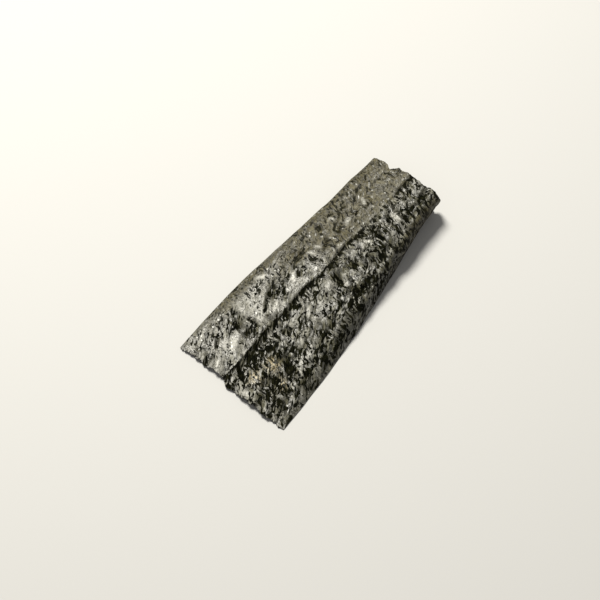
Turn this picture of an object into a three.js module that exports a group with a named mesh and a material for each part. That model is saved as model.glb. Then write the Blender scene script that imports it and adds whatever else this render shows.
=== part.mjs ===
// A strip of dried nori: one thin crisp sheet of pressed seaweed, curled down along both long sides.
//
// Millimetres, +Z up. The strip lies along X with its wide, flat near end at -X and its narrow, curled
// far end at +X. Both long edges rest on the plane z = 0, and the origin is under the middle.
//
// The sheet is described flat first, by two coordinates: u runs along it from the near end (0) to the
// far end (sheetLength), and s runs across it, from the right edge (negative) to the left edge (positive).
// Relief is a height off the flat sheet at (u, s). Each cross-section is then bent into an arch whose
// sides turn down, which gives the sheet its shape in space without stretching it.
import * as THREE from "three";

// The flat sheet.
const sheetLength = 95; // half the length of a full sheet
const sheetWidth = 44.4;
const sheetThickness = 0.3; // pressed sheet with its surface flakes

// How the cross-section bends, given at the near end, in the middle and at the far end.
const archAngle = [4, 6, 9.7]; // slope that the gentle arch has reached at the long edges, in degrees
const leftBend = {
  from: [20.8, 18.4, 15.8], // where the turned-down side starts to bend, measured from the middle line
  halfWidth: [3.0, 3.2, 3.4], // half the width of the sheet that takes part in the bend
  angle: [12, 47, 72], // how far the side turns down, in degrees
};
const rightBend = {
  from: [23.8, 16.5, 12.0],
  halfWidth: [4.9, 3.8, 2.7],
  angle: [23, 74, 105],
};
const sidewaysDrift = 4.6; // how far the far end lies to the left of the near end

// The long crease, where the sheet drops to the right. It crosses the sheet on a slant.
const creaseAtNearEnd = 3.5; // middle of the drop, measured from the middle line
const creaseAtFarEnd = -0.7;
const creaseWander = 0.7;
const creaseWanderSpacing = 7;
const creaseHeight = 0.85; // the sheet stands this proud along the left of the drop
const creaseReach = 6; // and comes back down over this distance
const creaseDip = 0.7; // it lies this deep along the right of the drop
const creaseDipReach = 3.5;
const creaseSharpness = 0.8; // half the width of the drop
const creaseFading = 0.6; // share of the crease that is lost where it is faintest, as it comes and goes
const creaseFadeSpacing = 10;

// Buckles: single ridges (height above 0) and dents (below 0) where the sheet has cockled while drying.
const buckles = [
  { u: 4, s: 8, along: 4.5, across: 3.0, turn: 10, height: 0.45 },
  { u: 18, s: 11, along: 5.5, across: 1.2, turn: 80, height: -0.5 },
  { u: 23, s: 11, along: 7.0, across: 2.4, turn: 86, height: 0.5 },
  { u: 31.5, s: 8.7, along: 4.0, across: 1.1, turn: 35, height: -0.6 },
  { u: 50, s: 11.2, along: 5.0, across: 1.2, turn: 2, height: -0.6 },
  { u: 58.5, s: 6.6, along: 3.6, across: 1.1, turn: 32, height: -0.55 },
  { u: 79, s: 5.5, along: 4.0, across: 0.9, turn: 82, height: 0.4 },
  { u: 13, s: -6.5, along: 5.0, across: 1.8, turn: 28, height: 0.55 },
  { u: 18.5, s: -9.5, along: 4.5, across: 1.5, turn: -72, height: -0.75 },
  { u: 17.5, s: -15, along: 5.5, across: 1.9, turn: 40, height: 0.7 },
  { u: 27, s: -8.6, along: 4.5, across: 1.6, turn: 30, height: 0.65 },
  { u: 36, s: -13.5, along: 5.5, across: 1.5, turn: 24, height: -0.6 },
  { u: 46, s: -3.6, along: 4.0, across: 2.2, turn: 20, height: 0.65 },
  { u: 50, s: -4.4, along: 3.4, across: 1.1, turn: -78, height: -0.65 },
  { u: 53, s: -14.2, along: 5.5, across: 1.6, turn: 4, height: -0.75 },
  { u: 62, s: -6.5, along: 4.5, across: 1.5, turn: 48, height: 0.55 },
  { u: 68, s: -11.6, along: 7.5, across: 1.3, turn: 6, height: -0.65 },
  { u: 80, s: -5.4, along: 3.6, across: 1.0, turn: 74, height: 0.55 },
  { u: 88, s: -8.8, along: 7.0, across: 1.2, turn: 7, height: -0.75 },
];

// Random cockling of the whole sheet, coarse then fine: wavelength along, wavelength across, height.
const cockles = [
  { along: 13, across: 8, height: 0.45, seed: 3 },
  { along: 6.2, across: 3.8, height: 0.45, seed: 11 },
  { along: 3.6, across: 2.8, height: 0.2, seed: 29 },
];
const cockleTurn = 22; // the cockles run on a slant to the strip
const leftCockling = [0.8, 0.8, 0.7]; // share of the cockling on the left of the crease, the smoother side
const smoothBand = 6; // the rolled sides stay this smooth towards the long edges
const smoothFloor = 0.22; // share of the relief that is left there

// Torn ends: how far each end reaches past (above 0) or falls short of the straight cut.
const nearTearStep = 1.8; // the right part of the near end reaches further out
const nearTearAt = 4.0;
const nearTearSlant = 3.0;
const farNotchDepth = 1.8;
const farNotchAt = 7.4;
const farNotchWidth = 1.4;
const raggedness = 0.55;
const raggedSpacing = 1.7;

// How finely the sheet is divided.
const cellsAlong = 70;
const cellsAcross = 32;
const bendSteps = 160; // steps taken from the middle line to a long edge when a section is bent

const radians = (degrees) => (degrees * Math.PI) / 180;
const clamp = (x, low, high) => Math.min(high, Math.max(low, x));

function smoothStep(x) {
  const k = clamp(x, 0, 1);
  return k * k * (3 - 2 * k);
}

// A value that is given at the near end, in the middle and at the far end.
function alongSheet([near, middle, far], t) {
  return near * 2 * (t - 0.5) * (t - 1) - middle * 4 * t * (t - 1) + far * 2 * t * (t - 0.5);
}

// A repeatable random number from -1 to 1 for a whole-numbered place.
function scatter(i, j, seed) {
  const x = Math.sin(i * 127.1 + j * 311.7 + seed * 74.7) * 43758.5453;
  return 2 * (x - Math.floor(x)) - 1;
}

// Random values on a grid of unit cells, blended smoothly between the cells' corners.
function valueNoise(x, y, seed) {
  const i = Math.floor(x);
  const j = Math.floor(y);
  const a = smoothStep(x - i);
  const b = smoothStep(y - j);
  const near = scatter(i, j, seed) * (1 - a) + scatter(i + 1, j, seed) * a;
  const far = scatter(i, j + 1, seed) * (1 - a) + scatter(i + 1, j + 1, seed) * a;
  return near * (1 - b) + far * b;
}

// How far a point lies to the left of the crease.
function leftOfCrease(u, s) {
  const straight = creaseAtNearEnd + ((creaseAtFarEnd - creaseAtNearEnd) * u) / sheetLength;
  return s - straight - creaseWander * valueNoise(u / creaseWanderSpacing, 0.5, 5);
}

// Share, from 0 on the right of the crease to 1 on its left.
function leftShare(d) {
  return 0.5 * (1 + Math.tanh(d / creaseSharpness));
}

function creaseRelief(u, d) {
  const ridge = creaseHeight * leftShare(d) * Math.exp(-Math.max(d, 0) / creaseReach);
  const dip = creaseDip * (1 - leftShare(d)) * Math.exp(-Math.max(-d, 0) / creaseDipReach);
  const faded = creaseFading * smoothStep(0.5 + valueNoise(u / creaseFadeSpacing, 0.5, 8));
  return (1 - faded) * (ridge - dip);
}

function buckleRelief(u, s) {
  return buckles.reduce((sum, buckle) => {
    const turn = radians(buckle.turn);
    const du = u - buckle.u;
    const ds = s - buckle.s;
    const along = (du * Math.cos(turn) + ds * Math.sin(turn)) / buckle.along;
    const across = (ds * Math.cos(turn) - du * Math.sin(turn)) / buckle.across;
    return sum + buckle.height * Math.exp(-along * along - across * across);
  }, 0);
}

function cockleRelief(u, s) {
  const turn = radians(cockleTurn);
  const lengthwise = u * Math.cos(turn) + s * Math.sin(turn);
  const crosswise = s * Math.cos(turn) - u * Math.sin(turn);
  return cockles.reduce((sum, { along, across, height, seed }) => {
    return sum + height * valueNoise(lengthwise / along, crosswise / across, seed);
  }, 0);
}

// Height of the sheet's middle surface off the flat sheet.
function relief(u, s) {
  const fromEdge = sheetWidth / 2 - Math.abs(s);
  const calm = smoothFloor + (1 - smoothFloor) * smoothStep(fromEdge / smoothBand);
  const d = leftOfCrease(u, s);
  const cockling = 1 + (alongSheet(leftCockling, u / sheetLength) - 1) * leftShare(d);
  return calm * (creaseRelief(u, d) + buckleRelief(u, s) + cockling * cockleRelief(u, s));
}

// How far the torn ends reach past the straight cut, at s across the sheet.
function nearTear(s) {
  const step = nearTearStep * smoothStep((nearTearAt - s) / nearTearSlant);
  return step + raggedness * valueNoise(s / raggedSpacing, 7.3, 17) - nearTearStep / 2;
}

function farTear(s) {
  const fromNotch = (s - farNotchAt) / farNotchWidth;
  const notch = farNotchDepth * Math.exp(-fromNotch * fromNotch);
  return raggedness * valueNoise(s / raggedSpacing, 2.1, 41) - notch;
}

// One side of a bent cross-section: its offset and height at each step from the middle line outwards.
function bentSide(bend, t) {
  const from = alongSheet(bend.from, t);
  const halfWidth = alongSheet(bend.halfWidth, t);
  const turned = radians(alongSheet(bend.angle, t));
  const arched = radians(alongSheet(archAngle, t));
  const step = sheetWidth / 2 / bendSteps;
  const points = [{ out: 0, up: 0 }];
  for (let i = 1; i <= bendSteps; i++) {
    const s = (i - 0.5) * step;
    const rolled = turned * smoothStep((s - from + halfWidth) / (2 * halfWidth));
    const slope = (arched * s * 2) / sheetWidth + rolled;
    const { out, up } = points[i - 1];
    points.push({ out: out + Math.cos(slope) * step, up: up - Math.sin(slope) * step });
  }
  return points;
}

// A whole cross-section at share t of the length, rolled and lifted so that both long edges are level at 0.
function crossSection(t) {
  const left = bentSide(leftBend, t);
  const right = bentSide(rightBend, t);
  const leftEdge = left[bendSteps];
  const rightEdge = right[bendSteps];
  const roll = -Math.atan2(leftEdge.up - rightEdge.up, leftEdge.out + rightEdge.out);
  const turn = (y, z) => [y * Math.cos(roll) - z * Math.sin(roll), y * Math.sin(roll) + z * Math.cos(roll)];
  const [leftY, edgeZ] = turn(leftEdge.out, leftEdge.up);
  const [rightY] = turn(-rightEdge.out, rightEdge.up);
  const middleY = (leftY + rightY) / 2 - sidewaysDrift * (t - 0.5);
  return (s) => {
    const side = s < 0 ? right : left;
    const place = clamp((Math.abs(s) * 2 * bendSteps) / sheetWidth, 0, bendSteps - 1e-6);
    const i = Math.floor(place);
    const k = place - i;
    const out = side[i].out * (1 - k) + side[i + 1].out * k;
    const up = side[i].up * (1 - k) + side[i + 1].up * k;
    const [y, z] = turn(s < 0 ? -out : out, up);
    return [y - middleY, z - edgeZ];
  };
}

// The sheet's middle surface in space, at share k of the way between the torn ends and at s across.
const sections = new Map();
function sectionAt(t) {
  if (!sections.has(t)) sections.set(t, crossSection(t));
  return sections.get(t);
}

function bentPoint(u, s) {
  const [y, z] = sectionAt(clamp(u / sheetLength, 0, 1))(s);
  return new THREE.Vector3(u - sheetLength / 2, y, z);
}

function bentNormal(u, s) {
  const reach = 0.2;
  const edge = sheetWidth / 2;
  const lengthwise = bentPoint(u + reach, s).sub(bentPoint(u - reach, s));
  const crosswise = bentPoint(u, Math.min(s + reach, edge)).sub(bentPoint(u, Math.max(s - reach, -edge)));
  return lengthwise.cross(crosswise).normalize();
}

// Rows of points over the whole sheet, each lifted off the bent sheet by its relief.
function middleSurface() {
  const rows = [];
  for (let i = 0; i <= cellsAlong; i++) {
    const row = [];
    for (let j = 0; j <= cellsAcross; j++) {
      const s = sheetWidth * (j / cellsAcross - 0.5);
      const start = -nearTear(s);
      const u = start + (sheetLength + farTear(s) - start) * (i / cellsAlong);
      row.push(bentPoint(u, s).addScaledVector(bentNormal(u, s), relief(u, s)));
    }
    rows.push(row);
  }
  return rows;
}

// Outward direction of the relieved surface at each point, from its neighbours.
function surfaceNormals(rows) {
  return rows.map((row, i) =>
    row.map((_, j) => {
      const before = rows[Math.max(i - 1, 0)][j];
      const after = rows[Math.min(i + 1, cellsAlong)][j];
      const right = row[Math.max(j - 1, 0)];
      const left = row[Math.min(j + 1, cellsAcross)];
      return after.clone().sub(before).cross(left.clone().sub(right)).normalize();
    }),
  );
}

// Moves points so that the middle of their bounding box's underside is at the origin.
function standing(points) {
  const box = new THREE.Box3().setFromPoints(points);
  const foot = box.getCenter(new THREE.Vector3()).setZ(box.min.z);
  return points.map((p) => p.sub(foot));
}

// A closed thin solid: the upper face, the lower face split into triangles alike, and the rim between them.
function thinSolid(rows, thickness) {
  const normals = surfaceNormals(rows);
  const offsetPoint = (p, i, j, offset) => p.clone().addScaledVector(normals[i][j], offset);
  const face = (offset) => rows.flatMap((row, i) => row.map((p, j) => offsetPoint(p, i, j, offset)));
  const points = standing([...face(thickness / 2), ...face(-thickness / 2)]);

  const acrossCount = cellsAcross + 1;
  const lowerStart = (cellsAlong + 1) * acrossCount;
  const at = (i, j) => i * acrossCount + j;
  const indices = [];
  for (let i = 0; i < cellsAlong; i++) {
    for (let j = 0; j < cellsAcross; j++) {
      const [a, b, c, d] = [at(i, j), at(i + 1, j), at(i + 1, j + 1), at(i, j + 1)];
      indices.push(a, b, c, a, c, d);
      indices.push(...[a, c, b, a, d, c].map((k) => k + lowerStart));
    }
  }
  const rim = (a, b) => indices.push(a, a + lowerStart, b, b, a + lowerStart, b + lowerStart);
  for (let i = 0; i < cellsAlong; i++) {
    rim(at(i, 0), at(i + 1, 0));
    rim(at(i + 1, cellsAcross), at(i, cellsAcross));
  }
  for (let j = 0; j < cellsAcross; j++) {
    rim(at(0, j + 1), at(0, j));
    rim(at(cellsAlong, j), at(cellsAlong, j + 1));
  }

  const geometry = new THREE.BufferGeometry().setFromPoints(points);
  geometry.setIndex(indices);
  geometry.computeVertexNormals();
  return geometry;
}

const noriMaterial = new THREE.MeshStandardMaterial({ color: 0x23241b, roughness: 0.45, metalness: 0 });

const noriStrip = new THREE.Mesh(thinSolid(middleSurface(), sheetThickness), noriMaterial);
noriStrip.name = "nori_strip";

const strip = new THREE.Group();
strip.add(noriStrip);

export default strip;
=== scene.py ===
import math
from types import SimpleNamespace

import bpy
import numpy as np
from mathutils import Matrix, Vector


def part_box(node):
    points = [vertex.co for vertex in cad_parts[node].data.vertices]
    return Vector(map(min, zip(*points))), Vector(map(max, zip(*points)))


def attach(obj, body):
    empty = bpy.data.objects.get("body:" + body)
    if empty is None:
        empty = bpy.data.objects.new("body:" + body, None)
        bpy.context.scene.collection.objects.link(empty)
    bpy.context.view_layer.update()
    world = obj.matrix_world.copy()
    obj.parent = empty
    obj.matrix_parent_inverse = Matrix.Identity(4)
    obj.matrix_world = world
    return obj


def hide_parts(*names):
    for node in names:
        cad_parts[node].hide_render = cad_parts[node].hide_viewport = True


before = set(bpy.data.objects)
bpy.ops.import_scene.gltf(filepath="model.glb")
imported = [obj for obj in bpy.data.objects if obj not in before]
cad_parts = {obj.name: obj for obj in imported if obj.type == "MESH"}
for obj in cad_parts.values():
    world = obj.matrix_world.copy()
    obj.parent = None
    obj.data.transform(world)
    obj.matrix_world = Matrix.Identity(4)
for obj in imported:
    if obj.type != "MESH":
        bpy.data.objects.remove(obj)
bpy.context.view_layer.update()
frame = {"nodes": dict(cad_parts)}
print("frame loaded:", ", ".join(frame["nodes"]))

mm = 0.001

# A curled leaf of dried nori. Lengths are in mm and angles in degrees.
# On its flat sheet u runs along it from the near end (0), and s runs across it, from the right edge (-)
# to the left (+).
nori = {
    "length": 95,
    "width": 44.4,
    "thickness": 0.3,
    # the bent cross-section, at the near end, in the middle and at the far end
    "archAngle": (4, 6, 9.7),
    "leftBend": {"from": (20.8, 18.4, 15.8), "halfWidth": (3.0, 3.2, 3.4), "angle": (12, 47, 72)},
    "rightBend": {"from": (23.8, 16.5, 12.0), "halfWidth": (4.9, 3.8, 2.7), "angle": (23, 74, 105)},
    "sidewaysDrift": 4.6,
    # the long crease, where the sheet drops to the right
    "crease": {"near": 3.5, "far": -0.7, "wander": 0.7, "wanderSpacing": 7, "height": 0.85, "reach": 6,
               "dip": 0.7, "dipReach": 3.5, "sharpness": 0.8, "fading": 0.6, "fadeSpacing": 10},
    # single ridges and dents: u, s, along, across, turn, height
    "buckles": (
        (4, 8, 4.5, 3.0, 10, 0.45),
        (18, 11, 5.5, 1.2, 80, -0.5),
        (23, 11, 7.0, 2.4, 86, 0.5),
        (31.5, 8.7, 4.0, 1.1, 35, -0.6),
        (50, 11.2, 5.0, 1.2, 2, -0.6),
        (58.5, 6.6, 3.6, 1.1, 32, -0.55),
        (79, 5.5, 4.0, 0.9, 82, 0.4),
        (13, -6.5, 5.0, 1.8, 28, 0.55),
        (18.5, -9.5, 4.5, 1.5, -72, -0.75),
        (17.5, -15, 5.5, 1.9, 40, 0.7),
        (27, -8.6, 4.5, 1.6, 30, 0.65),
        (36, -13.5, 5.5, 1.5, 24, -0.6),
        (46, -3.6, 4.0, 2.2, 20, 0.65),
        (50, -4.4, 3.4, 1.1, -78, -0.65),
        (53, -14.2, 5.5, 1.6, 4, -0.75),
        (62, -6.5, 4.5, 1.5, 48, 0.55),
        (68, -11.6, 7.5, 1.3, 6, -0.65),
        (80, -5.4, 3.6, 1.0, 74, 0.55),
        (88, -8.8, 7.0, 1.2, 7, -0.75),
    ),
    "cockles": ((13, 8, 0.45, 3), (6.2, 3.8, 0.45, 11), (3.6, 2.8, 0.2, 29)),  # along, across, height, seed
    "cockleTurn": 22,
    "leftCockling": (0.8, 0.8, 0.7),
    "smoothBand": 6,
    "smoothFloor": 0.22,
    # torn ends
    "nearTear": {"step": 1.8, "at": 4.0, "slant": 3.0},
    "farNotch": {"depth": 1.8, "at": 7.4, "width": 1.4},
    "raggedness": 0.55,
    "raggedSpacing": 1.7,
    # single lines of noise: the row they are read from, and their seed
    "wiggles": {
        "creaseWander": (0.5, 5),
        "creaseFading": (0.5, 8),
        "nearRags": (7.3, 17),
        "farRags": (2.1, 41),
    },
    # the frame's own division of the sheet, which places this one on it
    "frameCells": (70, 32),
    # the fine surface
    "cells": (300, 140),
    "smoothAngle": 32,
    "fray": {"height": 0.45, "spacing": 0.75, "reach": 1.3, "row": 3.7, "nearSeed": 211, "farSeed": 223,
             "wispsFiner": 2.7, "wispShare": 0.5, "inset": 0.4},
}


def smoothStep(x):
    k = np.clip(x, 0, 1)
    return k * k * (3 - 2 * k)


def rise(x, low, high):  # 0 at low, 1 at high
    return smoothStep((x - low) / (high - low))


def alongSheet(values, t):  # near end, middle, far end
    near, middle, far = values
    return near * 2 * (t - 0.5) * (t - 1) - middle * 4 * t * (t - 1) + far * 2 * t * (t - 0.5)


scatterTurns = (127.1, 311.7, 74.7)
scatterSize = 43758.5453


def scatter(i, j, seed):  # repeatable, from -1 to 1
    turnI, turnJ, turnSeed = scatterTurns
    x = np.sin(i * turnI + j * turnJ + seed * turnSeed) * scatterSize
    return 2 * (x - np.floor(x)) - 1


def valueNoise(x, y, seed):
    i, j = np.floor(x), np.floor(y)
    a, b = smoothStep(x - i), smoothStep(y - j)
    near = scatter(i, j, seed) * (1 - a) + scatter(i + 1, j, seed) * a
    far = scatter(i, j + 1, seed) * (1 - a) + scatter(i + 1, j + 1, seed) * a
    return near * (1 - b) + far * b


def wiggle(x, spacing, name):
    row, seed = nori["wiggles"][name]
    return valueNoise(x / spacing, np.full_like(x, row), seed)


def turned(u, s, degrees):
    c, q = math.cos(math.radians(degrees)), math.sin(math.radians(degrees))
    return u * c + s * q, s * c - u * q


def leftOfCrease(u, s):
    crease = nori["crease"]
    straight = crease["near"] + (crease["far"] - crease["near"]) * u / nori["length"]
    return s - straight - crease["wander"] * wiggle(u, crease["wanderSpacing"], "creaseWander")


def leftShare(d):
    return 0.5 * (1 + np.tanh(d / nori["crease"]["sharpness"]))


def creaseStrength(u):
    crease = nori["crease"]
    return 1 - crease["fading"] * smoothStep(0.5 + wiggle(u, crease["fadeSpacing"], "creaseFading"))


def creaseRelief(u, d):
    crease = nori["crease"]
    ridge = crease["height"] * leftShare(d) * np.exp(-np.maximum(d, 0) / crease["reach"])
    dip = crease["dip"] * (1 - leftShare(d)) * np.exp(-np.maximum(-d, 0) / crease["dipReach"])
    return creaseStrength(u) * (ridge - dip)


def buckleRelief(u, s):
    total = np.zeros_like(u)
    for atU, atS, along, across, turn, height in nori["buckles"]:
        a, b = turned(u - atU, s - atS, turn)
        total += height * np.exp(-((a / along) ** 2) - (b / across) ** 2)
    return total


def cockleRelief(u, s):
    a, b = turned(u, s, nori["cockleTurn"])
    layers = nori["cockles"]
    return sum(height * valueNoise(a / along, b / across, seed) for along, across, height, seed in layers)


def calmShare(s):  # the rolled sides stay smoother
    fromEdge = nori["width"] / 2 - np.abs(s)
    return nori["smoothFloor"] + (1 - nori["smoothFloor"]) * smoothStep(fromEdge / nori["smoothBand"])


def relief(u, s):  # the frame's own relief
    d = leftOfCrease(u, s)
    cockling = 1 + (alongSheet(nori["leftCockling"], u / nori["length"]) - 1) * leftShare(d)
    return calmShare(s) * (creaseRelief(u, d) + buckleRelief(u, s) + cockling * cockleRelief(u, s))


def nearEnd(s):
    tear = nori["nearTear"]
    step = tear["step"] * smoothStep((tear["at"] - s) / tear["slant"])
    rags = nori["raggedness"] * wiggle(s, nori["raggedSpacing"], "nearRags")
    return -(step + rags - tear["step"] / 2)


def farEnd(s):
    notch = nori["farNotch"]
    bite = notch["depth"] * np.exp(-(((s - notch["at"]) / notch["width"]) ** 2))
    rags = nori["raggedness"] * wiggle(s, nori["raggedSpacing"], "farRags")
    return nori["length"] + rags - bite


# The bent sheet is kept as a table of points and outward directions, and read between its entries.
def bentSide(bend, t, steps):
    start, half = alongSheet(bend["from"], t), alongSheet(bend["halfWidth"], t)
    turn = math.radians(alongSheet(bend["angle"], t))
    arch = math.radians(alongSheet(nori["archAngle"], t))
    step = nori["width"] / 2 / steps
    s = (np.arange(1, steps + 1) - 0.5) * step
    slope = arch * s * 2 / nori["width"] + turn * smoothStep((s - start + half) / (2 * half))
    out = np.concatenate([[0], np.cumsum(np.cos(slope) * step)])
    up = np.concatenate([[0], -np.cumsum(np.sin(slope) * step)])
    return out, up


def bentTable(stations=241, steps=160):
    table = np.zeros((stations, 2 * steps + 1, 3))
    for i, t in enumerate(np.linspace(0, 1, stations)):
        leftOut, leftUp = bentSide(nori["leftBend"], t, steps)
        rightOut, rightUp = bentSide(nori["rightBend"], t, steps)
        y = np.concatenate([-rightOut[::-1], leftOut[1:]])
        z = np.concatenate([rightUp[::-1], leftUp[1:]])
        roll = -math.atan2(z[-1] - z[0], y[-1] - y[0])
        y, z = y * math.cos(roll) - z * math.sin(roll), y * math.sin(roll) + z * math.cos(roll)
        table[i, :, 0] = nori["length"] * (t - 0.5)
        table[i, :, 1] = y - (y[0] + y[-1]) / 2 + nori["sidewaysDrift"] * (t - 0.5)
        table[i, :, 2] = z - z[-1]
    outward = np.cross(np.gradient(table, axis=0), np.gradient(table, axis=1))
    return table, outward / np.linalg.norm(outward, axis=2, keepdims=True)


def readTable(table, u, s):
    rows, columns = table.shape[:2]
    a = np.clip(u / nori["length"], 0, 1) * (rows - 1)
    b = np.clip(s / nori["width"] + 0.5, 0, 1) * (columns - 1)
    i, j = np.minimum(a.astype(int), rows - 2), np.minimum(b.astype(int), columns - 2)
    a, b = (a - i)[:, None], (b - j)[:, None]
    near = table[i, j] * (1 - b) + table[i, j + 1] * b
    far = table[i + 1, j] * (1 - b) + table[i + 1, j + 1] * b
    return near * (1 - a) + far * a


bentPoints, bentOutward = bentTable()


def bent(u, s, height):  # a point of the flat sheet, lifted off it by height, in the bent sheet's own place
    points = readTable(bentPoints, u, s)
    points[:, 0] = u - nori["length"] / 2
    outward = readTable(bentOutward, u, s)
    outward /= np.linalg.norm(outward, axis=1, keepdims=True)
    return points + outward * height[:, None]


def framePlace():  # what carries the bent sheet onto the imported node
    along, across = nori["frameCells"]
    k, s = (g.ravel() for g in np.meshgrid(
        np.linspace(0, 1, along + 1), np.linspace(-0.5, 0.5, across + 1) * nori["width"], indexing="ij"))
    u = nearEnd(s) + (farEnd(s) - nearEnd(s)) * k
    middle = bent(u, s, relief(u, s))
    low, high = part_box("nori_strip")
    target = (np.array(low) + np.array(high)) / 2 / mm
    place = target - (middle.min(0) + middle.max(0)) / 2
    difference = np.array(high - low) / mm - np.ptp(middle, axis=0)
    print("placed on the frame, size differs by mm:", np.round(difference, 2))
    return place


# Overlapping flakes: each cell of an uneven net holds one dome with its own lift and tilt, and the highest
# shows. Lengths are in cells.
flakeDome = {"stray": 0.4, "tilt": 0.8, "lift": 0.25, "roundness": 0.8, "raised": 0.1}


def flakes(x, y, seed):
    i, j = np.floor(x), np.floor(y)
    top = np.full(x.shape, -np.inf)
    for di in (-1, 0, 1):
        for dj in (-1, 0, 1):
            ci, cj = i + di, j + dj
            dx = x - (ci + 0.5 + flakeDome["stray"] * scatter(ci, cj, seed))
            dy = y - (cj + 0.5 + flakeDome["stray"] * scatter(ci, cj, seed + 1))
            tilt = flakeDome["tilt"] * (scatter(ci, cj, seed + 2) * dx + scatter(ci, cj, seed + 3) * dy)
            lift = flakeDome["lift"] * scatter(ci, cj, seed + 4)
            top = np.maximum(top, lift + tilt - flakeDome["roundness"] * (dx * dx + dy * dy))
    return top + flakeDome["raised"]


# The fine relief of the skin.
fine = {
    # layers of flakes: turn, along, across, height and seed
    "lengthwise": ((48, 6.0, 2.8, 0.45, 71), (34, 3.2, 1.3, 0.28, 101)),
    "crosswise": ((60, 5.0, 2.6, 0.4, 83), (76, 3.0, 1.3, 0.28, 161)),
    "turnsAt": 52,  # where along the strip the flakes change direction
    "turnsOver": 24,
    "turnsWander": {"share": 0.4, "spacing": (7, 5), "seed": 77},
    "warp": 0.45,
    "warpScales": ((0.7, 0.7), (0.8, 0.6)),  # of the noise that warps them along and across
    "leftShares": (0.6, 0.6, 0.3),  # share of the crumpling left of the crease
    "rightShares": (0.9, 1.0, 0.95),
    "patch": (8, 5),  # flat patches left of the crease: along and across
    "patchContrast": 2.2,
    "patchSeed": 57,
    "patchCalm": 0.8,
    "edgeCalm": 1.6,
    "flankShare": 0.3,
    "flank": (3, 8),  # from the edge
    # painted shade along the foot of the crease starts a little left of it, and further left near the
    # camera
    "valleyLeft": 0.3,
    "valleyRise": 0.7,
    "valleyRiseOver": (0, 60),
    "valleyEdge": 0.5,
    "valleyReach": 0.8,
    "valleyLeast": 0.7,
    "crestReach": 3,
    "crestCalm": 0.7,
    "flakeShare": 0.65,  # of the flakes with a painted highlight, where a painted glint has 1
    "flakeCalm": 0.75,
    "flakeLift": 0.22,
    "creviceDepth": 0.35,
}

# Where the sheet is smooth and brown: the far part of the left side, the left flank and the far right
# flank.
brownAreas = {
    "from": 42,
    "over": 26,
    "wander": {"by": 8, "spacing": (9, 6), "seed": 63},
    "earlier": 12,  # it starts this much sooner near the left flank
    "earlierAcross": (6, 14),
    "creaseBlend": 1.5,
    "leftFlank": (14.5, 18.5),
    "leftFlankShare": 0.8,
    "leftFlankAlong": (6, 22),
    "rightFlank": (10.5, 13),
    "rightFlankAlong": (60, 85),
}


def brownShare(u, s):
    areas, wander = brownAreas, brownAreas["wander"]
    along, across = wander["spacing"]
    start = areas["from"] + wander["by"] * valueNoise(u / along, s / across, wander["seed"])
    start = start - areas["earlier"] * rise(s, *areas["earlierAcross"])
    left = leftShare(leftOfCrease(u, s) / areas["creaseBlend"]) * smoothStep((u - start) / areas["over"])
    leftFlank = areas["leftFlankShare"] * rise(s, *areas["leftFlank"]) * rise(u, *areas["leftFlankAlong"])
    rightFlank = rise(-s, *areas["rightFlank"]) * rise(u, *areas["rightFlankAlong"])
    return np.maximum(np.maximum(left, leftFlank), rightFlank)


def flakeLayer(u, s, layer):
    turn, along, across, height, seed = layer
    a, b = turned(u, s, turn)
    a, b = a / along, b / across
    (alongA, alongB), (acrossA, acrossB) = fine["warpScales"]
    shiftA = valueNoise(a * alongA, b * alongB, seed + 20)
    shiftB = valueNoise(a * acrossA, b * acrossB, seed + 30)
    return height * flakes(a + fine["warp"] * shiftA, b + fine["warp"] * shiftB, seed + 40)


# Single marks, each by u, s, half length, half width and turn: flakes that lie flat, raised and with a
# painted highlight, and the deeper crevices, sunk and with painted shade.
paintedHighlightFlakes = (
    (3, 7.3, 3.6, 1.5, 22),
    (11.5, 8.2, 3.0, 1.6, 30),
    (24, 14, 4.0, 3.0, 70),
    (25, 7.2, 3.0, 1.6, 20),
    (29.8, 6.3, 2.6, 1.6, 25),
    (42.5, 8.0, 2.2, 1.2, 40),
    (1, -6, 3.2, 1.2, -85),
    (19.8, -14.3, 3.2, 1.3, 30),
    (25.8, -9.0, 2.2, 1.0, 25),
    (25, -13.4, 2.6, 1.0, 15),
    (29.5, -2.4, 2.2, 1.3, 25),
    (36, -3.6, 2.2, 1.2, 20),
    (45.6, -3.6, 2.8, 1.9, 25),
)
paintedGlints = (
    (36, 17, 1.9, 1.0, -50),
    (52.6, 8.6, 1.6, 0.6, -75),
    (55.6, 8.2, 1.3, 0.7, -70),
    (67, 11.8, 1.2, 0.6, -60),
    (69.5, 6.4, 1.8, 0.8, 10),
    (78, 6.6, 1.6, 0.6, 60),
    (77.9, 3.2, 0.9, 0.5, -70),
    (84.6, 9.4, 1.2, 0.4, 35),
    (51, -7, 2.4, 0.8, 50),
    (66.6, -4.2, 1.6, 0.6, -55),
    (79, -6.2, 2.8, 0.8, 82),
)
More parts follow.
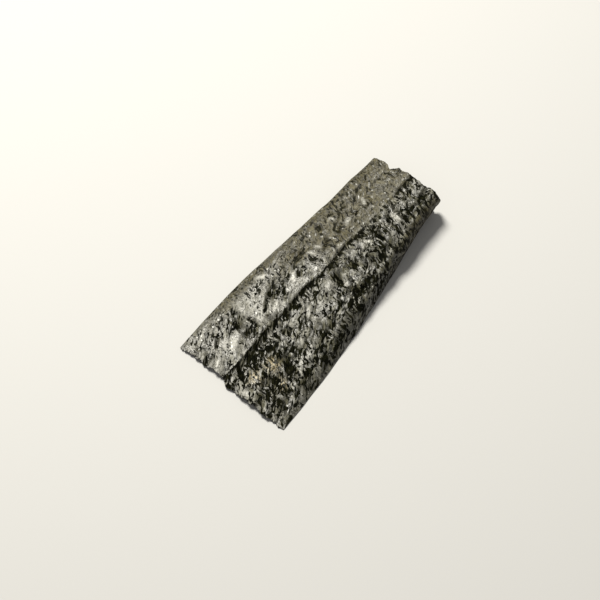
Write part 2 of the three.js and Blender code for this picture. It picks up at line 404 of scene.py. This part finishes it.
crevices = (
    (2.5, 11.8, 3.0, 0.9, 10),
    (9.5, 13.6, 2.6, 0.5, 30),
    (17.8, 12.2, 2.2, 0.7, 80),
    (17.5, 7.4, 1.3, 0.5, 60),
    (21.5, 7.6, 2.4, 0.35, 88),
    (29.6, 8.9, 3.6, 0.6, 32),
    (34, 10.5, 2.4, 0.8, 14),
    (36.5, 7.2, 1.6, 0.5, 50),
    (44.6, 6.6, 1.2, 0.4, 40),
    (49.5, 11.3, 3.8, 0.75, 5),
    (58, 6.7, 3.0, 0.4, 24),
    (61.8, 13.2, 1.6, 0.8, 60),
    (65.5, 9.0, 1.8, 0.5, 30),
    (80.5, 11.5, 1.4, 0.4, 30),
    (83.6, 9.0, 1.2, 0.4, -40),
    (17, -11.5, 3.0, 0.9, 70),
    (49.8, -5.0, 3.2, 1.0, 78),
    (46, -6.2, 1.4, 0.4, 40),
    (53, -13, 5.5, 1.2, 4),
    (57.5, -5.6, 2.4, 1.0, 60),
    (70.3, -5.5, 2.8, 0.5, 80),
    (72.2, -2.6, 1.6, 0.5, -60),
    (82.5, -8.6, 3.2, 1.1, 8),
    (91, -8.2, 3.0, 1.0, 12),
    (65.5, 6.8, 2.0, 0.45, 30),
    (68, 13.2, 1.2, 0.4, -30),
    (72.5, 11.2, 0.9, 0.4, -40),
    (73.8, 6.0, 1.6, 0.3, 10),
    (77.2, 10, 1.1, 0.4, 40),
    (77.6, 4.6, 0.5, 0.35, 0),
    (86, 12.4, 1.3, 0.3, 35),
    (88.5, 7.6, 1.3, 0.35, -50),
    (91.5, 7.4, 1.5, 0.4, -55),
)


# Broad painted shade (+) and painted light (-), each by u, s, half length, half width, turn and how much.
paintedShadeAndLight = (
    (8, 1, 14, 3.4, -3, 0.2),
    (2, -1, 5, 3, 0, 0.22),
    (51, -4.5, 2.5, 3, 0, -0.14),
    (33.5, 10, 3, 2, 20, -0.12),
    (52, -16, 55, 6, 0, 0.2),
    (3, -12, 14, 9, 0, 0.15),
    (87, 17, 12, 2.6, 0, 0.24),
    (14, 10.5, 4, 4, 0, -0.14),
    (15.5, 7.2, 4, 2.6, 0, -0.14),
    (29.5, 1, 7, 1.8, -3, 0.16),
    (33.5, 15.5, 3.5, 2.4, 0, 0.2),
    (39, 7, 3.5, 2.4, 0, 0.12),
    (34, -11, 4.5, 2.8, 0, -0.34),
    (9, -11, 3.5, 2.5, 0, -0.12),
    (45.5, -3.5, 4, 3.4, 0, -0.12),
    (51, -10.5, 4, 2.4, 0, -0.34),
    (57, -5.5, 4, 3.4, 0, -0.16),
)


def paintedShadeAndLightSum(u, s):
    total = np.zeros_like(u)
    for atU, atS, along, across, turn, share in paintedShadeAndLight:
        a, b = turned(u - atU, s - atS, turn)
        total += share * np.exp(-((a / along) ** 2) - (b / across) ** 2)
    return total


def markShare(marks, u, s):
    share = np.zeros_like(u)
    for atU, atS, along, across, turn in marks:
        a, b = turned(u - atU, s - atS, turn)
        share = np.maximum(share, np.exp(-((a / along) ** 4) - (b / across) ** 4))
    return share


# raises the flat flakes and paints a highlight on them
def flatFlakesAndPaintedHighlight(u, s):
    return np.maximum(fine["flakeShare"] * markShare(paintedHighlightFlakes, u, s), markShare(paintedGlints, u, s))


# The olive-gold spots, each by u, s and radius: the leaf's own olive-gold tint with a painted glint.
goldTintAndPaintedGlintSpots = ((14, -6.2, 2.4), (7, -4.4, 2.2), (10.5, -12.5, 1.8))


def goldTintAndPaintedGlintShare(u, s):
    return sum(np.exp(-((u - atU) ** 2 + (s - atS) ** 2) / radius**2) for atU, atS, radius in goldTintAndPaintedGlintSpots)


def crumpleShare(u, s):
    t = u / nori["length"]
    side = leftShare(leftOfCrease(u, s))
    along, across = fine["patch"]
    patches = valueNoise(u / along, s / across, fine["patchSeed"])
    flat = smoothStep(0.5 + fine["patchContrast"] * patches) * fine["patchCalm"]
    left, right = alongSheet(fine["leftShares"], t), alongSheet(fine["rightShares"], t)
    share = left * (1 - flat) * side + right * (1 - side)
    fromEdge = nori["width"] / 2 - np.abs(s)
    flank = fine["flankShare"] + (1 - fine["flankShare"]) * rise(fromEdge, *fine["flank"])
    share = share * flank * smoothStep(fromEdge / fine["edgeCalm"]) * (1 - fine["crestCalm"] * crest(u, s))
    return share * (1 - fine["flakeCalm"] * flatFlakesAndPaintedHighlight(u, s))


def crest(u, s):  # the raised edge left of the crease
    d = leftOfCrease(u, s)
    return leftShare(d) * np.exp(-np.maximum(d, 0) / fine["crestReach"])


def creaseFootShade(u, s):  # painted shade along the foot of the crease
    edge = fine["valleyEdge"]
    top = fine["valleyRise"] * (1 - rise(u, *fine["valleyRiseOver"])) + fine["valleyLeft"]
    below = top - leftOfCrease(u, s)
    fading = np.exp(-np.maximum(below - edge, 0) / fine["valleyReach"])
    return smoothStep(below / edge + 0.5) * fading * np.maximum(creaseStrength(u), fine["valleyLeast"])


def crumple(u, s):
    wander = fine["turnsWander"]
    along, across = wander["spacing"]
    stray = wander["share"] * valueNoise(u / along, s / across, wander["seed"])
    share = smoothStep((u - fine["turnsAt"]) / fine["turnsOver"] + 0.5 + stray)
    lengthwise = sum(flakeLayer(u, s, layer) for layer in fine["lengthwise"])
    crosswise = sum(flakeLayer(u, s, layer) for layer in fine["crosswise"])
    return lengthwise * (1 - share) + crosswise * share


def fray(s, seed):  # how far the torn end's wisps stand out
    wisps = nori["fray"]
    row = np.full_like(s, wisps["row"])
    coarse = np.abs(valueNoise(s / wisps["spacing"], row, seed))
    thin = np.abs(valueNoise(s / wisps["spacing"] * wisps["wispsFiner"], row, seed + 1))
    return wisps["height"] * (coarse + wisps["wispShare"] * thin - wisps["inset"])


def storeShare(leaf, name, values):
    attribute = leaf.data.attributes.new(name, "FLOAT", "POINT")
    attribute.data.foreach_set("value", np.clip(values, 0, 1).astype(np.float32))


# Painted shade, where 0.5 is half dark: low flakes, fold dips, the crease foot and crevices get more; the
# crest, film and highlighted flakes get painted light. The pair is for a calm place and what crumpling
# adds.
paintedShadeSources = {
    "start": 0.5,
    "flakeTops": (0.2, 0.5),
    "folds": 0.1,
    "film": 0.12,
    "creaseFootShade": 0.6,
    "crevices": 0.42,
    "bright": 0.4,
    "crest": 0.3,
    "farCrest": 0.2,
    "farCrestAlong": (60, 75),
}


# the painted shade level of each point, lowered where painted light is laid
def paintedShadeLevel(u, s, flakeTop, share, bright, deep):
    calm, crumpled = paintedShadeSources["flakeTops"]
    folds = buckleRelief(u, s) + cockleRelief(u, s)
    dip = paintedShadeSources["start"] - flakeTop * (calm + crumpled * share) - folds * paintedShadeSources["folds"]
    dip = dip - paintedShadeSources["film"] * (1 - share)
    marks = paintedShadeAndLightSum(u, s) + creaseFootShade(u, s) * paintedShadeSources["creaseFootShade"] + deep * paintedShadeSources["crevices"]
    marks = marks - bright * paintedShadeSources["bright"]
    farCrest = paintedShadeSources["farCrest"] * rise(u, *paintedShadeSources["farCrestAlong"])
    return dip + marks - crest(u, s) * (paintedShadeSources["crest"] + farCrest)


def makeLeaf():
    bpy.ops.object.select_all(action="DESELECT")
    along, across = nori["cells"]
    bpy.ops.mesh.primitive_grid_add(x_subdivisions=along, y_subdivisions=across, size=1, location=(0, 0, 0))
    leaf = bpy.context.active_object
    leaf.name = "nori_leaf"
    leaf.data.uv_layers[0].name = "flatSheet"
    bpy.ops.object.modifier_add(type="SOLIDIFY")
    leaf.modifiers[-1].thickness = nori["thickness"]
    leaf.modifiers[-1].offset = 0
    bpy.ops.object.modifier_apply(modifier=leaf.modifiers[-1].name)

    flat = np.zeros(len(leaf.data.vertices) * 3)
    leaf.data.vertices.foreach_get("co", flat)
    lengthways, sideways, height = flat.reshape(-1, 3).T
    s = sideways * nori["width"]
    start, end = nearEnd(s), farEnd(s)
    u = start + (end - start) * (lengthways + 0.5)
    wisps = nori["fray"]
    u = u - fray(s, wisps["nearSeed"]) * np.exp(-(u - start) / wisps["reach"])
    u = u + fray(s, wisps["farSeed"]) * np.exp(-(end - u) / wisps["reach"])
    flakeTop = crumple(u, s)
    share = crumpleShare(u, s)
    bright, deep = flatFlakesAndPaintedHighlight(u, s), markShare(crevices, u, s)
    lift = relief(u, s) + share * flakeTop
    lift = lift + calmShare(s) * (fine["flakeLift"] * bright - fine["creviceDepth"] * deep)
    points = bent(u, s, lift + height) + framePlace()
    leaf.data.vertices.foreach_set("co", (points * mm).ravel())

    # painted shade, painted highlight and the olive-gold tint with its painted glint go to the material as
    # point attributes, beside the brown film and the crumpling
    storeShare(leaf, "hollow", paintedShadeLevel(u, s, flakeTop, share, bright, deep))
    storeShare(leaf, "bright", bright)
    storeShare(leaf, "gold", goldTintAndPaintedGlintShare(u, s))
    storeShare(leaf, "brown", brownShare(u, s))
    storeShare(leaf, "crumpled", share)
    leaf.data.update()
    bpy.ops.object.shade_smooth_by_angle(angle=math.radians(nori["smoothAngle"]))
    print("leaf made:", len(leaf.data.vertices), "vertices, lowest", round(points[:, 2].min(), 3), "mm")
    return leaf


class Wire:  # an output socket that can be used in sums
    def __init__(self, tree, socket=None):
        self.tree = tree
        self.socket = socket

    def node(self, kind, settings=None, sockets=None, output=0):
        made = self.tree.nodes.new("ShaderNode" + kind)
        for name, value in (settings or {}).items():
            setattr(made, name, value)
        for name, value in (sockets or {}).items():
            if isinstance(value, Wire):
                self.tree.links.new(value.socket, made.inputs[name])
            else:
                made.inputs[name].default_value = value
        return Wire(self.tree, made.outputs[output] if len(made.outputs) else None)

    def other(self, output):  # another output of the same node
        return Wire(self.tree, self.socket.node.outputs[output])

    def maths(self, operation, second=0.0):
        return self.node("Math", {"operation": operation}, {0: self, 1: second})

    def __add__(self, other):
        return self.maths("ADD", other)

    __radd__ = __add__

    def __sub__(self, other):
        return self.maths("SUBTRACT", other)

    def __rsub__(self, other):
        return self.node("Math", {"operation": "SUBTRACT"}, {0: other, 1: self})

    def __mul__(self, other):
        return self.maths("MULTIPLY", other)

    __rmul__ = __mul__

    def atLeast(self, other):
        return self.maths("MAXIMUM", other)

    def between(self, low, high):  # 0 below low, 1 above high, smooth in between
        return self.node("MapRange", {"interpolation_type": "SMOOTHSTEP"}, {0: self, 1: low, 2: high})

    def mixColours(self, first, second):  # self is the share of the second
        return self.node("Mix", {"data_type": "RGBA"}, {0: self, 6: first, 7: second}, output=2)


def newMaterial(name):
    material = bpy.data.materials.new(name)
    material.use_nodes = True
    tree = material.node_tree
    tree.nodes.clear()
    return material, Wire(tree)


noriLook = {
    "black": (0.014, 0.0135, 0.005, 1),
    "olive": (0.052, 0.048, 0.018, 1),
    # painted sheen, a pale grey laid on the smooth film and on some patches
    "paintedSheen": (0.09, 0.087, 0.072, 1),
    "brown": (0.080, 0.067, 0.022, 1),
    "darkBrown": (0.022, 0.0185, 0.006, 1),
    # the olive-gold tint with its painted glint
    "gold": (0.27, 0.215, 0.105, 1),
    # the painted highlight on flat flakes, glints and flecks
    "paintedHighlight": (0.36, 0.355, 0.32, 1),
    # the near-black painted shade, plain and olive
    "hollow": (0.0025, 0.0027, 0.0012, 1),
    "paintedShadeOlive": (0.009, 0.009, 0.0035, 1),
    "specular": 0.85,
    "ior": 1.5,
    "coatRoughness": 0.36,
    "paintedShadeRoughness": 0.8,
    "paintedShadeSpecular": 0.03,
    "turns": (33, 76),  # lie of the strokes at the near and the far end
    "turnsStray": 30,  # mm by which the place where they change wanders
    # nets of flakes: how far they are stretched, and how many there are in a mm
    "bigFlakes": (1.8, 0.5),
    "smallFlakes": (2.5, 1.1),
    "fineFlakes": (2.6, 2.0),
    "specks": (1.7, 1.1),
    "specksTurn": 60,
    "specksShown": (0.3, 0.7),
    "moreOnBrown": 0.2,
    # cloudy patterns
    "blotches": {"Scale": 0.14, "Detail": 4.0, "Roughness": 0.6},
    "patches": {"Scale": 0.24, "Detail": 1.0, "Roughness": 0.5},
    "mottle": {"Scale": 0.8, "Detail": 2.0, "Roughness": 0.6},
    "veins": {"Scale": 0.85, "Detail": 2.0, "Roughness": 0.55},
    "waver": {"Scale": 0.5, "Detail": 0.0},
    "waverBy": (0.8, 0.8, 0.0),
}

# Each mask is 0 at its first value and 1 at its second.
masks = {
    "rough": (0.1, 0.6),
    "notFilm": (0.15, 0.55),
    "busy": (0.42, 0.56),
    "farStrokes": (64, 66),
    "crossedStrokes": (0.55, 0.56),
    "offVein": (0.006, 0.024),
    "cracked": (0.4, 0.55),
    "offSpeck": (0.24, 0.44),
    "notPit": (0.3, 0.36),
    "fleck": (0.66, 0.7),
    "paintedDark": (0.4, 0.64),
    "farOff": (30, 60),
    "olive": (0.2, 0.9),
    "brown": (0.25, 0.75),
    "paintedSheenFilm": (0.35, 0.55),
    "paintedSheenPatch": (0.5, 0.6),
    "paintedSheenFlake": (0.2, 0.7),
    "gold": (0.35, 0.5),
    "paintedShadeOlive": (0.4, 0.8),
    "dull": (0.38, 0.62),
    "glossy": (0.38, 0.55),
}


def mask(value, name):
    low, high = masks[name]
    return value.between(low, high)


def weight(pair, share):  # a pair is what a calm place has, and what a busy or rough one adds
    calm, added = pair
    return calm + added * share


def slanted(place, turn, stretch):  # stretched along a direction that is turned from the strip's length
    return place.node("Mapping", {"vector_type": "TEXTURE"}, {
        "Vector": place, "Rotation": (0, 0, math.radians(turn)), "Scale": (stretch, 1, 1)})


def vectorMaths(first, operation, second, output=0):
    return first.node("VectorMath", {"operation": operation}, {0: first, 1: second}, output)


def cloud(place, pattern, output=0):
    return place.node("TexNoise", {}, {"Vector": place, **pattern}, output)


def cells(spot, perMm):
    return spot.node("TexVoronoi", {"feature": "F1"}, {"Vector": spot, "Scale": perMm, "Randomness": 1.0})


# A net of flat flakes, each with its own tilt. Gives the tilt as a height in mm, and two chances (0 to 1).
def tiltedFlakes(place, turn, stretch, perMm):
    spot = slanted(place, turn, stretch)
    net = cells(spot, perMm)
    away = vectorMaths(spot, "SUBTRACT", net.other("Position"))
    kind = net.other("Color")
    lean = vectorMaths(kind, "SUBTRACT", (0.5, 0.5, 0.5))
    parts = place.node("SeparateXYZ", {}, {0: kind})
    return vectorMaths(away, "DOT_PRODUCT", lean, "Value"), parts, parts.other(2)


def bothWays(place, farShare, net):  # the flakes lie one way near the camera and another way far off
    near, far = (tiltedFlakes(place, turn, *net) for turn in noriLook["turns"])
    return [a + farShare * (b - a) for a, b in zip(near, far)]


def addSpecks(skin):  # pits with painted shade, and flecks with a painted glint, in the smooth film
    stretch, perMm = noriLook["specks"]
    net = cells(slanted(skin.wavy, noriLook["specksTurn"], stretch), perMm)
    kind = skin.wavy.node("SeparateXYZ", {}, {0: net.other("Color")})
    speck = (1 - mask(net, "offSpeck")) * skin.film * weight(noriLook["specksShown"], skin.busy)
    skin.pit = speck * (1 - mask(kind, "notPit"))
    skin.fleck = speck * mask(kind + noriLook["moreOnBrown"] * skin.brown, "fleck")


def noriPatterns(wire):  # everything that the colours, the gloss and the bumps are made from
    look = noriLook
    skin = SimpleNamespace()
    for name in ("hollow", "bright", "gold", "brown", "crumpled"):
        setattr(skin, name, wire.node("Attribute", {"attribute_name": name}, output="Fac"))
    flatUv = wire.node("UVMap", {"uv_map": "flatSheet"})
    place = wire.node("Mapping", {}, {"Vector": flatUv, "Scale": (nori["length"], nori["width"], 1)})
    skin.along = wire.node("SeparateXYZ", {}, {0: place})
    skin.rough = mask(skin.crumpled, "rough")
    skin.film = 1 - mask(skin.crumpled, "notFilm")
    for name in ("blotches", "mottle", "patches"):
        setattr(skin, name, cloud(place, look[name]))
    skin.busy = skin.rough.atLeast(mask(skin.blotches, "busy"))

    farStrokes = mask(skin.along + look["turnsStray"] * skin.blotches, "farStrokes")
    farShare = (farStrokes - mask(skin.patches, "crossedStrokes")).maths("ABSOLUTE")
    waver = vectorMaths(cloud(place, look["waver"], "Color"), "MULTIPLY", look["waverBy"])
    skin.wavy = vectorMaths(place, "ADD", waver)
    skin.bigTilt, skin.bigLift = bothWays(skin.wavy, farShare, look["bigFlakes"])[:2]
    skin.smallTilt, skin.smallLift, skin.smallTone = bothWays(skin.wavy, farShare, look["smallFlakes"])
    skin.fineTilt, skin.fineLift, skin.fineTone = bothWays(skin.wavy, farShare, look["fineFlakes"])
    veins = (cloud(skin.wavy, look["veins"]) - 0.5).maths("ABSOLUTE")
    skin.crack = (1 - mask(veins, "offVein")) * mask(skin.mottle, "cracked")
    skin.bright = skin.bright * (skin.fineTone * 0.5 + 0.5)
    addSpecks(skin)
    return skin


# How strongly each pattern paints shade on a place, pits and cracks included.
paintedShadeWeights = {
    "small": (0.16, 0.39),
    "fine": (0.25, 0.5),
    "big": 0.25,
    "mottle": 0.3,
    "patches": 0.6,
    "farOff": 0.03,
    "pit": 0.9,
    "crack": 0.8,
    "brown": 0.12,
}


# the share of painted shade: how much of the near-black shader is mixed over the leaf
def paintedShadeMix(skin):
    ragged = skin.hollow + weight(paintedShadeWeights["small"], skin.busy) * (skin.smallLift - 0.5)
    ragged = ragged + paintedShadeWeights["big"] * (skin.bigLift - 0.5) + paintedShadeWeights["mottle"] * (skin.mottle - 0.5)
    ragged = ragged + weight(paintedShadeWeights["fine"], skin.busy) * (skin.fineLift - 0.5)
    ragged = ragged - paintedShadeWeights["patches"] * (skin.patches - 0.5)
    ragged = ragged - paintedShadeWeights["farOff"] * mask(skin.along, "farOff")
    paintedDark = mask(ragged, "paintedDark").atLeast(skin.pit * paintedShadeWeights["pit"]).atLeast(skin.crack * paintedShadeWeights["crack"])
    return (paintedDark * (1 - paintedShadeWeights["brown"] * skin.brown)).atLeast(skin.brown * paintedShadeWeights["brown"])


# How strongly each pattern shows in the colour, the painted sheen and the painted glints of the flecks
# included.
tones = {
    "brownMottle": 0.4,
    "brownSmall": 0.25,
    "brownFine": 0.35,
    "paintedSheenFilm": (0.85, -0.35),
    "paintedSheenPatch": 0.7,
    "brown": (0.95, -0.8),
    "fleck": 0.6,
}


def leafColour(skin):
    look = noriLook
    colour = mask(skin.smallTone, "olive").mixColours(look["black"], look["olive"])
    brownTone = skin.mottle * tones["brownMottle"] + skin.smallTone * tones["brownSmall"]
    brownTone = brownTone + skin.fineTone * tones["brownFine"]
    brownTone = mask(brownTone, "brown").mixColours(look["darkBrown"], look["brown"])
    # painted sheen on the smooth film and on patches of flakes
    paintedSheen = skin.film * weight(tones["paintedSheenFilm"], skin.busy) * mask(skin.mottle, "paintedSheenFilm")
    paintedSheenPatch = mask(skin.patches, "paintedSheenPatch") * mask(skin.smallTone, "paintedSheenFlake")
    colour = paintedSheen.atLeast(paintedSheenPatch * tones["paintedSheenPatch"]).mixColours(colour, look["paintedSheen"])
    colour = (skin.brown * weight(tones["brown"], skin.fleck)).mixColours(colour, brownTone)
    # the olive-gold tint with a painted glint
    colour = (skin.gold * mask(skin.fineTone, "gold")).mixColours(colour, look["gold"])
    # painted highlight on the flat flakes and the flecks
    return skin.bright.atLeast(skin.fleck * tones["fleck"]).mixColours(colour, look["paintedHighlight"])


# Roughness, coat, and what the patterns add to them.
gloss = {
    "roughness": 0.4,
    "roughBlotches": 0.12,
    "roughFlakes": 0.1,
    "roughBrown": 0.12,
    "roughFleck": -0.2,
    "coat": 0.36,
    "coatOnBrown": -0.8,
    "coatOnFleck": 0.5,
    "coatOnBright": 0.15,
}


def leafRoughness(skin):
    roughness = gloss["roughness"] + gloss["roughBlotches"] * mask(skin.blotches, "dull")
    roughness = roughness + gloss["roughFlakes"] * skin.smallTone
    return roughness + gloss["roughBrown"] * skin.brown + gloss["roughFleck"] * skin.fleck


def leafCoat(skin):
    coat = gloss["coat"] * mask(skin.blotches, "glossy") * (1 + gloss["coatOnBrown"] * skin.brown)
    return coat + skin.fleck * gloss["coatOnFleck"] + skin.bright * gloss["coatOnBright"]


# Heights in mm. The last three are shares.
bumps = {
    "big": (0.25, 0.25),
    "small": (0.15, 0.25),
    "fine": (0.1, 0.35),
    "smallStep": (0.06, 0.14),
    "fineStep": (0.05, 0.05),
    "mottle": (0.05, 0.1),
    "fleck": 0.12,
    "pit": 0.12,
    "crack": 0.1,
    "brownLumps": 0.8,
    "smallOnBright": -0.5,
    "fineOnBright": -0.7,
}


def leafBump(skin):
    rough = skin.rough
    lumpy = rough.atLeast(bumps["brownLumps"] * skin.brown)
    smallShare = weight(bumps["small"], lumpy) * (1 + bumps["smallOnBright"] * skin.bright)
    fineShare = weight(bumps["fine"], rough) * (1 + bumps["fineOnBright"] * skin.bright)
    height = weight(bumps["big"], lumpy) * skin.bigTilt + smallShare * skin.smallTilt
    height = height + fineShare * skin.fineTilt
    height = height + weight(bumps["smallStep"], rough) * skin.smallLift
    height = height + weight(bumps["fineStep"], rough) * skin.fineLift
    height = height + weight(bumps["mottle"], skin.brown) * skin.mottle
    height = height + bumps["fleck"] * skin.fleck - bumps["pit"] * skin.pit - bumps["crack"] * skin.crack
    return height.node("Bump", {}, {"Strength": 1.0, "Distance": mm, "Height": height})


def noriMaterial():
    look = noriLook
    material, wire = newMaterial("dried nori")
    skin = noriPatterns(wire)
    bump = leafBump(skin)
    leafShader = wire.node("BsdfPrincipled", {}, {
        "Base Color": leafColour(skin), "Roughness": leafRoughness(skin), "Normal": bump,
        "Specular IOR Level": look["specular"], "IOR": look["ior"],
        "Coat Weight": leafCoat(skin), "Coat Roughness": look["coatRoughness"]})
    # a near-black shader that paints shade, mixed over the leaf where shade is painted
    paintedShadeColour = mask(skin.fineTone, "paintedShadeOlive").mixColours(look["hollow"], look["paintedShadeOlive"])
    paintedShadeShader = wire.node("BsdfPrincipled", {}, {
        "Base Color": paintedShadeColour, "Roughness": look["paintedShadeRoughness"], "Normal": bump,
        "Specular IOR Level": look["paintedShadeSpecular"]})
    mixed = wire.node("MixShader", {}, {0: paintedShadeMix(skin), 1: leafShader, 2: paintedShadeShader})
    wire.node("OutputMaterial", {}, {"Surface": mixed})
    print("nori material made")
    return material


studio = {
    "floorSize": 3,  # m
    "floorRoughness": 0.8,
    "floorColour": (0.5, 0.5, 0.505, 1),
    "worldColour": (1.0, 0.98, 0.92, 1),
    "worldStrength": 0.3,
    "azimuth": -50.9,
    "elevation": 59.9,
    "aim": (-9.85, 1.76, 4),
    "distance": 560,
    "lens": 103.3,
    "sensor": 36,
    # the large soft lamp, placed from the origin as the camera sees it
    "key": {"beyond": 420, "left": 210, "above": 740, "size": 300,
            "watts": 13.4, "colour": (1.0, 0.965, 0.86)},
}


def cameraAxes():
    a, e = math.radians(studio["azimuth"]), math.radians(studio["elevation"])
    back = Vector((math.sin(a) * math.cos(e), -math.cos(a) * math.cos(e), math.sin(e)))
    right = Vector((math.cos(a), math.sin(a), 0))
    return back, right


def makeCamera():
    back, right = cameraAxes()
    data = bpy.data.cameras.new("camera")
    data.sensor_width = studio["sensor"]
    data.lens = studio["lens"]
    camera = bpy.data.objects.new("camera", data)
    bpy.context.collection.objects.link(camera)
    camera.location = (Vector(studio["aim"]) + back * studio["distance"]) * mm
    camera.rotation_euler = back.to_track_quat("Z", "Y").to_euler()
    bpy.context.scene.camera = camera


def areaLight(name, beyond, left, above, size, watts, colour):
    back, right = cameraAxes()
    away = Vector((-back.x, -back.y, 0)).normalized()
    data = bpy.data.lights.new(name, "AREA")
    data.shape = "DISK"
    data.size = size * mm
    data.energy = watts
    data.color = colour
    light = bpy.data.objects.new(name, data)
    bpy.context.collection.objects.link(light)
    place = away * beyond - right * left + Vector((0, 0, above))
    light.location = place * mm
    light.rotation_euler = place.to_track_quat("Z", "Y").to_euler()


def makeStudio():
    bpy.ops.object.select_all(action="DESELECT")
    bpy.ops.mesh.primitive_plane_add(size=studio["floorSize"], location=(0, 0, 0))
    floor = bpy.context.active_object
    floor.name = "floor"
    material, wire = newMaterial("plain floor")
    shader = wire.node("BsdfPrincipled", {}, {
        "Base Color": studio["floorColour"], "Roughness": studio["floorRoughness"]})
    wire.node("OutputMaterial", {}, {"Surface": shader})
    floor.data.materials.append(material)
    world = bpy.data.worlds.new("pale room")
    world.use_nodes = True
    background = world.node_tree.nodes["Background"]
    background.inputs["Color"].default_value = studio["worldColour"]
    background.inputs["Strength"].default_value = studio["worldStrength"]
    bpy.context.scene.world = world
    areaLight("key", **studio["key"])
    bpy.context.scene.view_settings.view_transform = "Standard"
    print("studio ready")


makeCamera()
makeStudio()
leaf = makeLeaf()
leaf.data.materials.append(noriMaterial())
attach(leaf, "root")
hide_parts("nori_strip")
print("nori leaf dressed")
